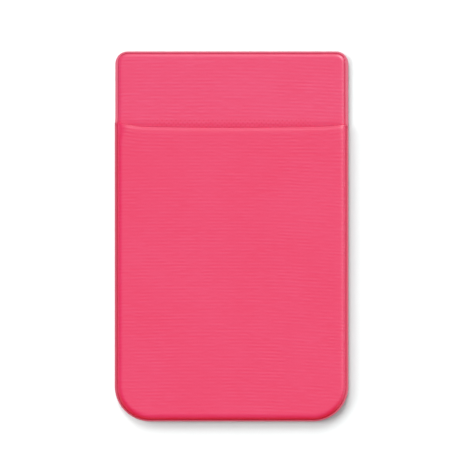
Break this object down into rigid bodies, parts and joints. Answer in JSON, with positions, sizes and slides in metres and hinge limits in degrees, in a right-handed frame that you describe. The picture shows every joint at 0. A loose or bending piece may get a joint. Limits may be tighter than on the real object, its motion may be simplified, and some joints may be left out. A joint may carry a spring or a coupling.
{
  "type": "stick-on phone card holder",
  "caption": "Flat stretch-fabric card pocket with welded edges, a folded mouth below a padded strip, and an adhesive back that sticks to a phone.",
  "frame": {"origin": "below the middle of the holder, on the rear face of the release liner", "axes": "+X across the width, +Y along the length towards the mouth end, +Z out of the pocket's face, away from the phone"},
  "size_m": [0.06, 0.095, 0.0029],
  "materials": {
    "stretch_fabric": "matte",
    "foam_tape": "matte",
    "release_paper": "satin"
  },
  "bodies": {
    "root": {"back_panel": "stretch_fabric", "pocket_panel": "stretch_fabric", "adhesive_pad": "foam_tape", "release_liner": "release_paper"}
  },
  "joints": []
}
